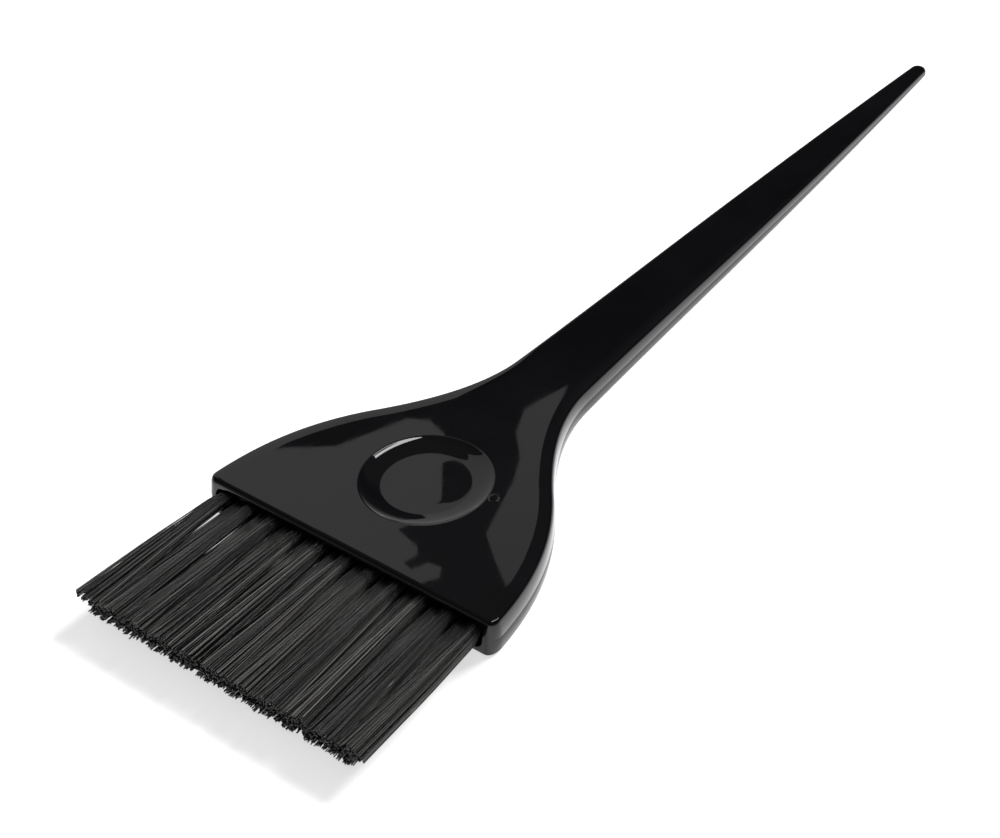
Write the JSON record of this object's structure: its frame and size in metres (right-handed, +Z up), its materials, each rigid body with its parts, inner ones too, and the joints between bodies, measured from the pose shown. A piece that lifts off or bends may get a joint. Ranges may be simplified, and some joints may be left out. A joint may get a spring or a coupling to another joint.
{
  "type": "tint brush",
  "caption": "Flat hair-colour brush: wide paddle head with a dished thumb rest, staggered rows of black nylon tufts at the front edge and a long tapering tail.",
  "frame": {"origin": "middle of the footprint, on the surface the brush lies on", "axes": "+X from the bristle tips to the tail end, +Y across the head, +Z up from the underside to the thumb-rest face"},
  "size_m": [0.229, 0.066, 0.0072],
  "materials": {
    "gloss_black": "polished black moulding",
    "black_nylon": "black nylon filament",
    "anchor_steel": "bright flat wire"
  },
  "bodies": {
    "root": {"handle": "gloss_black", "tuft_upper_01": "black_nylon", "tuft_upper_02": "black_nylon", "tuft_upper_03": "black_nylon", "tuft_upper_04": "black_nylon", "tuft_upper_05": "black_nylon", "tuft_upper_06": "black_nylon", "tuft_upper_07": "black_nylon", "tuft_upper_08": "black_nylon", "tuft_upper_09": "black_nylon", "tuft_upper_10": "black_nylon", "tuft_upper_11": "black_nylon", "tuft_lower_01": "black_nylon", "tuft_lower_02": "black_nylon", "tuft_lower_03": "black_nylon", "tuft_lower_04": "black_nylon", "tuft_lower_05": "black_nylon", "tuft_lower_06": "black_nylon", "tuft_lower_07": "black_nylon", "tuft_lower_08": "black_nylon", "tuft_lower_09": "black_nylon", "tuft_lower_10": "black_nylon", "anchor_upper_01": "anchor_steel", "anchor_upper_02": "anchor_steel", "anchor_upper_03": "anchor_steel", "anchor_upper_04": "anchor_steel", "anchor_upper_05": "anchor_steel", "anchor_upper_06": "anchor_steel", "anchor_upper_07": "anchor_steel", "anchor_upper_08": "anchor_steel", "anchor_upper_09": "anchor_steel", "anchor_upper_10": "anchor_steel", "anchor_upper_11": "anchor_steel", "anchor_lower_01": "anchor_steel", "anchor_lower_02": "anchor_steel", "anchor_lower_03": "anchor_steel", "anchor_lower_04": "anchor_steel", "anchor_lower_05": "anchor_steel", "anchor_lower_06": "anchor_steel", "anchor_lower_07": "anchor_steel", "anchor_lower_08": "anchor_steel", "anchor_lower_09": "anchor_steel", "anchor_lower_10": "anchor_steel"}
  },
  "joints": []
}
